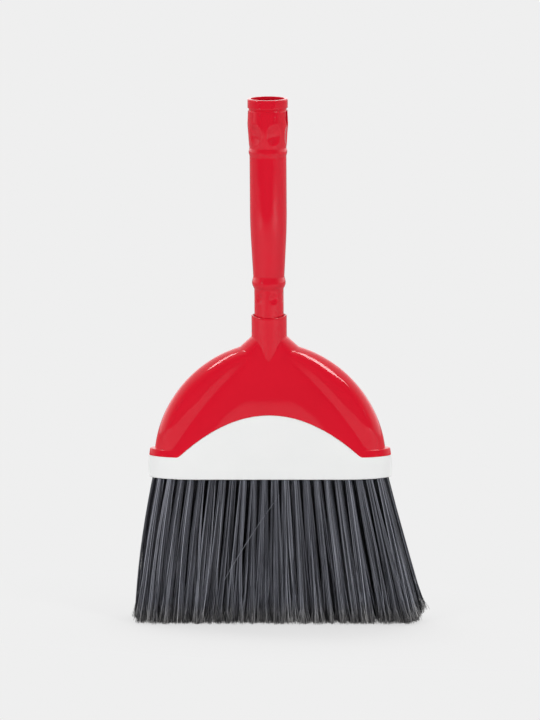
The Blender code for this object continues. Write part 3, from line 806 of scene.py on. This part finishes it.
def tip_height(x):
    """Height of a tip at x: on the floor, but for those near each end."""
    reach = BLOCK_HALF_WIDTH - TUFT_END + (LEAN_LEFT if x < 0 else LEAN_RIGHT) + TIP_SPREAD
    lift = LIFT_LEFT if x < 0 else LIFT_RIGHT
    return lift * min(max((abs(x) - reach + LIFT_SPAN) / LIFT_SPAN, 0), 1) ** LIFT_POWER


def tubes(paths, radii, tones, alongs, turns):
    """Vertices, faces and places in the tone map of three-sided tubes along near-upright paths."""
    count, steps = radii.shape
    angles = turns[:, None, None] + np.array([0, 2, 4]) * math.pi / 3
    rings = np.empty((count, steps, 3, 3))
    rings[..., 0] = paths[:, :, None, 0] + radii[:, :, None] * np.cos(angles)
    rings[..., 1] = paths[:, :, None, 1] + radii[:, :, None] * np.sin(angles)
    rings[..., 2] = paths[:, :, None, 2]
    index = np.arange(count * steps * 3).reshape(count, steps, 3)
    after = np.roll(index, -1, axis=2)
    sides = np.stack([index[:, :-1], after[:, :-1], after[:, 1:], index[:, 1:]], axis=-1).reshape(-1, 4)
    ends = np.concatenate([index[:, 0, ::-1], index[:, -1]])
    side_tones = np.broadcast_to(tones[:, None, None], (count, steps - 1, 3)).reshape(-1)
    left, right = side_tones, side_tones + TONE_WIDTH
    low = np.broadcast_to(alongs[:, :-1, None], (count, steps - 1, 3)).reshape(-1)
    high = np.broadcast_to(alongs[:, 1:, None], (count, steps - 1, 3)).reshape(-1)
    side_map = np.stack([left, low, right, low, right, high, left, high], axis=-1).reshape(-1, 2)
    end_map = []
    for row in (0, -1):
        level = alongs[:, row]
        corners = np.stack([tones, level, tones + TONE_WIDTH, level, tones, level - TONE_WIDTH], axis=-1)
        end_map.append(corners.reshape(-1, 2))
    return rings.reshape(-1, 3), sides, ends, side_map, np.concatenate(end_map)


def tuft_paths(rng, x, y):
    """The middle lines, radii, tones and shares of the length of a tuft's filaments and flagged ends."""
    lock = np.repeat(np.arange(LOCKS), LOCK_FILAMENTS)
    count = len(lock)

    def in_lock(values):
        return values[lock]

    ring_share = np.sqrt((np.arange(LOCKS) + 0.5) / LOCKS)
    around = np.arange(LOCKS) * GOLDEN_TURN + rng.random() * 2 * math.pi
    out = in_lock(np.stack([np.cos(around), np.sin(around)], axis=-1) * ring_share[:, None])
    loose = rng.normal(0, 1, (count, 2))
    root = np.empty((count, 3))
    root[:, :2] = np.array([x, y]) + out * (TUFT_RADIUS - LOCK_ROOT) + np.clip(loose, -1, 1) * LOCK_ROOT
    root[:, 2] = BRISTLE_LENGTH + TUFT_DEPTH * ROOT_SHARE
    tip = np.empty((count, 3))
    tip[:, 0] = tip_place(x) + out[:, 0] * TIP_SPREAD
    tip[:, 1] = y * FLARE_DEPTH + out[:, 1] * DEPTH_SPREAD + in_lock(rng.normal(0, TIP_WANDER, LOCKS))
    tip[:, :2] += loose * LOCK_TIP
    tip[:, 0] += rng.normal(0, TUFT_LEAN)
    apart = max((x / BLOCK_HALF_WIDTH) ** EDGE_POWER, 0)
    wander = TIP_WANDER + (EDGE_WANDER - TIP_WANDER) * apart
    stray = in_lock(rng.normal(0, wander, (LOCKS, 1))) + rng.normal(0, OWN_WANDER * wander, (count, 1))
    stray = np.clip(stray, CAD_BOX[0][0] - LEFT_REACH - tip[:, :1], CAD_BOX[1][0] + RIGHT_REACH - tip[:, :1])
    short = np.abs(rng.normal(0, UNEVEN_CUT, count))
    short += (rng.random(count) < SHORT_SHARE) * rng.uniform(0, SHORT_CUT, count)
    short += np.abs(in_lock(rng.normal(0, LOCK_CUT, LOCKS)))
    tip[:, 2] = [tip_height(tip_x) for tip_x in tip[:, 0] + stray[:, 0]] + short

    t = np.linspace(0, 1, FILAMENT_STEPS + 1)
    bow = in_lock(rng.normal(0, LOCK_BOW, (LOCKS, 2))) + rng.normal(0, OWN_BOW, (count, 2))
    bow[:, 0] -= LEFT_BOW * max(-x / BLOCK_HALF_WIDTH, 0) ** LEFT_BOW_POWER
    wave = rng.normal(0, WAVE, (count, 2))
    phase = rng.random((count, 2)) * 2 * math.pi

    def point(t):
        t = np.asarray(t)[None, :, None]
        line = root[:, None] + (tip - root)[:, None] * t
        line = np.broadcast_to(line, (count, t.shape[1], 3)).copy()
        line[..., :1] += stray[:, None] * t ** 3
        line[..., :2] += bow[:, None] * np.sin(math.pi * t)
        line[..., :2] += wave[:, None] * np.sin(WAVE_TURN * t + phase[:, None]) * t
        line[..., 1] = np.clip(line[..., 1], -DEPTH_REACH, DEPTH_REACH)
        return line

    radii = np.broadcast_to(FILAMENT_RADIUS * np.where(t > SPLIT_START, END_RADIUS, 1.0), (count, len(t)))
    # the middle row's darker tone is painted shade, not a different colour of its filaments
    shade = OUTER_TONE if y else MIDDLE_PAINTED_SHADE_TONE
    tones = in_lock(rng.normal(shade, LOCK_TONES, LOCKS)) + rng.normal(0, OWN_TONES, count)
    tones = np.clip(tones, 0, PALEST)
    turns = rng.random(count) * 2 * math.pi
    radii = radii * rng.uniform(*FILAMENT_RADII, (count, 1))
    parts = [(point(t), radii, tones, np.broadcast_to(t, (count, len(t))), turns)]
    split_t = np.linspace(SPLIT_START, 1, SPLIT_STEPS + 1)
    shares = np.broadcast_to(split_t, (count, len(split_t)))
    gone = ((split_t - SPLIT_START) / (1 - SPLIT_START))[None, :, None]
    thin = FILAMENT_RADIUS * SPLIT_RADIUS * np.linspace(1, SPLIT_TIP, SPLIT_STEPS + 1)
    for _ in range(SPLIT_BRANCHES):
        branch = point(split_t)
        away = rng.normal(0, SPLIT_SPREAD, (count, 2))
        branch[..., :2] += away[:, None] * gone ** SPLIT_POWER
        branch[..., 2:] += np.abs(rng.normal(0, SPLIT_LIFT, (count, 1, 1))) * gone
        branch[..., 1] = np.clip(branch[..., 1], -DEPTH_REACH, DEPTH_REACH)
        branch_tones = np.clip(tones + rng.normal(*SPLIT_TONES, count), 0, PALEST)
        parts.append((branch, np.broadcast_to(thin, shares.shape), branch_tones, shares, turns))
    return parts


def filament_object(name, parts, material):
    """One mesh of all the tubes in parts, with its tone map."""
    verts, sides, ends, side_maps, end_maps = [], [], [], [], []
    offset = 0
    for part in parts:
        points, quads, caps, side_map, end_map = tubes(*part)
        verts.append(points)
        sides.append(quads + offset)
        ends.append(caps + offset)
        side_maps.append(side_map)
        end_maps.append(end_map)
        offset += len(points)
    mesh = bpy.data.meshes.new(name)
    faces = np.concatenate(sides).tolist() + np.concatenate(ends).tolist()
    mesh.from_pydata(np.concatenate(verts).tolist(), [], faces)
    places = np.concatenate(side_maps + end_maps).astype(np.float32)
    mesh.uv_layers.new(name="OFBake").uv.foreach_set("vector", places.ravel())
    return new_object(name, mesh, material, FILAMENT_SHARP_ANGLE)


def crossing_filament():
    """The one loose filament that lies across the front row, from under the block down to the left."""
    t = np.linspace(0, 1, FILAMENT_STEPS + 1)
    start, end = (np.array(place) * MM for place in CROSSING)
    path = start + (end - start) * t[:, None]
    path[:, 0] -= CROSSING_BOW * np.sin(math.pi * t)
    radii = np.full((1, len(t)), FILAMENT_RADIUS)
    return path[None], radii, np.array([CROSSING_TONE]), t[None] * CROSSING_ALONG, np.zeros(1)


def dress(piece, body, slot, *nodes):
    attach(piece, body)
    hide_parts(*nodes)


def make_tufts(material):
    """The filaments of each tuft, which stand for that tuft of the frame."""
    rng = np.random.default_rng(7)
    for number, (x, y) in enumerate(outer_row(), 1):
        for side, row in ((-1, "front"), (1, "back")):
            parts = tuft_paths(rng, x, side * y)
            if side < 0 and number == CROSSING_TUFT:
                parts.append(crossing_filament())
            piece = filament_object(f"filaments_{row}_{number:02d}", parts, material)
            dress(piece, "head", "grey_filament", f"tuft_{row}_{number:02d}")
    for number, x in enumerate(row_places(MIDDLE_TUFTS), 1):
        piece = filament_object(f"filaments_middle_{number:02d}", tuft_paths(rng, x, 0), material)
        dress(piece, "head", "grey_filament", "tuft_row_middle")


# Studio
BACKDROP = 0.863             # renders as the photograph's pale grey
# Place and brightness of the world, from behind the object (0) round to the front (1)
WORLD_LEVELS = (
    (0.1, 1.6), (0.45, 1.05), (0.6, 0.7), (0.68, 0.37), (0.76, 0.17), (0.87, 0.07), (0.97, 0.14)
)
FLOOR_GREY = 0.46            # how much light it gives back to the object
# Share of FLOOR_GREY that is left, by the share of the way to the floor's front end
FLOOR_FADE = ((0.35, 1), (0.66, 0.88), (0.81, 0.6), (0.91, 0.15))
FLOOR_TINT = 0.83            # its own grey where it shows shadows, close to the object
# How plain the floor looks, by its distance in metres from the object's middle, squeezed as follows
SHADOW_FADE = ((0.05, 0.7), (0.09, 0.9), (0.15, 1))
SHADOW_SQUEEZE = (0.4, 1, 1)    # the shadow shows further sideways than to the front
FLOOR_HEIGHT = -0.02 * MM
FLOOR_FRONT = -2.2           # where the pale floor ends, towards the front
FLOOR_TURN = math.radians(-14)
FLOOR_REACH = 14.0
OBJECT = Vector((0, 0, 0.28))    # what the softboxes face
CAMERA_AIM = Vector((0.0005, 0, 0.2265))
CAMERA_AZIMUTH = math.radians(2)
CAMERA_ELEVATION = math.radians(10.15)
CAMERA_ROLL = math.radians(-0.4)
CAMERA_DISTANCE = 3.75
CAMERA_LENS = 220.6
CAMERA_SENSOR = 36
CAMERA_CLIP = 60


def make_world():
    """Camera rays see the pale grey. For the rest the world is bright behind the object and dim in front."""
    world = bpy.data.worlds.new("studio")
    bpy.context.scene.world = world
    world.use_nodes = True
    tree = world.node_tree
    tree.nodes.clear()
    way = tree.nodes.new("ShaderNodeTexCoord").outputs["Generated"]
    parts = node(tree, "ShaderNodeSeparateXYZ", Vector=way)
    front = math_node(tree, "MULTIPLY_ADD", parts.outputs["Y"], -0.5, 0.5)
    level = grey_ramp(tree, front, WORLD_LEVELS)
    studio = node(tree, "ShaderNodeBackground", Color=level, Strength=1.0)
    seen = node(tree, "ShaderNodeBackground", Color=(*grey(BACKDROP), 1), Strength=1.0)
    path = tree.nodes.new("ShaderNodeLightPath")
    mix = node(tree, "ShaderNodeMixShader", i0=path.outputs["Is Camera Ray"], i1=studio.outputs[0],
               i2=seen.outputs[0])
    out = tree.nodes.new("ShaderNodeOutputWorld")
    tree.links.new(mix.outputs[0], out.inputs["Surface"])


def make_floor():
    """A pale floor: it shows its own grey to the camera, lowered by part of the shadow that falls on it."""
    material, tree, shader = new_material("pale floor")
    tree.nodes.remove(shader)
    place = tree.nodes.new("ShaderNodeTexCoord").outputs["Object"]
    squeezed = node(tree, "ShaderNodeVectorMath", i0=place, i1=SHADOW_SQUEEZE)
    squeezed.operation = "MULTIPLY"
    away = node(tree, "ShaderNodeVectorMath", i0=squeezed.outputs[0])
    away.operation = "LENGTH"
    matt = node(tree, "ShaderNodeBsdfDiffuse", Color=(*grey(FLOOR_TINT), 1))
    glow = node(tree, "ShaderNodeEmission", Color=(*grey(BACKDROP), 1), Strength=1.0)
    plain = grey_ramp(tree, away.outputs["Value"], SHADOW_FADE)
    seen = node(tree, "ShaderNodeMixShader", i0=plain, i1=matt.outputs[0], i2=glow.outputs[0])
    parts = node(tree, "ShaderNodeSeparateXYZ", Vector=place)
    ahead = math_node(tree, "MULTIPLY", parts.outputs["Y"], 1 / FLOOR_FRONT)
    fading = grey_ramp(tree, ahead, [(position, share * FLOOR_GREY) for position, share in FLOOR_FADE])
    mirrored = node(tree, "ShaderNodeBsdfDiffuse", Color=fading)
    path = tree.nodes.new("ShaderNodeLightPath")
    mix = node(tree, "ShaderNodeMixShader", i0=path.outputs["Is Camera Ray"], i1=mirrored.outputs[0],
               i2=seen.outputs[0])
    tree.links.new(mix.outputs[0], tree.nodes["Material Output"].inputs["Surface"])
    bm = bmesh.new()
    corners = ((-FLOOR_REACH, FLOOR_FRONT), (FLOOR_REACH, FLOOR_FRONT), (FLOOR_REACH, FLOOR_REACH),
               (-FLOOR_REACH, FLOOR_REACH))
    bm.faces.new([bm.verts.new((x, y, FLOOR_HEIGHT)) for x, y in corners])
    mesh = bpy.data.meshes.new("floor")
    bm.to_mesh(mesh)
    bm.free()
    floor = new_object("floor", mesh, material)
    floor.rotation_euler.z = FLOOR_TURN


def area_light(name, place, size, strength, along=(0, 0, 1), lights=True, mirrored=True):
    """A softbox that faces the object. Its strength is the radiance that a reflection of it shows.

    Its second side runs the way of along, as nearly as it can.
    """
    light = bpy.data.lights.new(name, "AREA")
    light.shape = "RECTANGLE"
    light.size, light.size_y = size
    light.energy = strength * math.pi * size[0] * size[1]
    obj = bpy.data.objects.new(name, light)
    bpy.context.scene.collection.objects.link(obj)
    obj.location = place
    away = (Vector(place) - OBJECT).normalized()
    side = Vector(along).cross(away).normalized()
    obj.rotation_euler = Matrix((side, away.cross(side), away)).transposed().to_euler()
    obj.visible_camera = False
    obj.visible_diffuse = lights
    obj.visible_glossy = mirrored


def make_camera():
    flat = math.cos(CAMERA_ELEVATION)
    away = Vector((math.sin(CAMERA_AZIMUTH) * flat, -math.cos(CAMERA_AZIMUTH) * flat,
                   math.sin(CAMERA_ELEVATION)))
    camera = bpy.data.cameras.new("camera")
    camera.lens = CAMERA_LENS
    camera.sensor_width = CAMERA_SENSOR
    camera.clip_end = CAMERA_CLIP
    obj = bpy.data.objects.new("camera", camera)
    bpy.context.scene.collection.objects.link(obj)
    obj.location = CAMERA_AIM + away * CAMERA_DISTANCE
    roll = Matrix.Rotation(CAMERA_ROLL, 4, "Z").to_quaternion()
    obj.rotation_euler = ((-away).to_track_quat("-Z", "Y") @ roll).to_euler()
    bpy.context.scene.camera = obj


RED = plastic("red plastic", colours=((0.66, 0.0054, 0.021), (0.69, 0.0062, 0.023)),
              roughness=(0.06, 0.09), grain=900, bump=0.012)
WHITE = plastic("white satin plastic", colours=((0.85, 0.86, 0.855), (0.87, 0.875, 0.87)),
                roughness=(0.30, 0.42), grain=1200, bump=0.05)

make_camera()
dress(make_handle(RED), "handle", "red_plastic", "handle")
dress(make_shell(RED), "head", "red_plastic", "head_shell")
dress(make_block(WHITE), "head", "white_plastic", "bristle_block")
make_tufts(filament_material())

make_world()
make_floor()
area_light("left fill", (-1.8, -1.8, 0.7), size=(0.5, 1.0), strength=21.2, mirrored=False)
area_light("right fill", (1.8, -1.8, 0.7), size=(0.5, 1.0), strength=19.9, mirrored=False)
area_light("left strip", (-1.27, -0.18, 1.91), size=(0.2, 1.1), strength=10.0, along=(0.60, 1.09, 0.55),
           lights=False)
area_light("right strip", (1.21, -0.55, 1.96), size=(0.34, 1.5), strength=12.0, along=(-0.39, 0.77, 0.72),
           lights=False)

bpy.context.scene.view_settings.view_transform = "Standard"
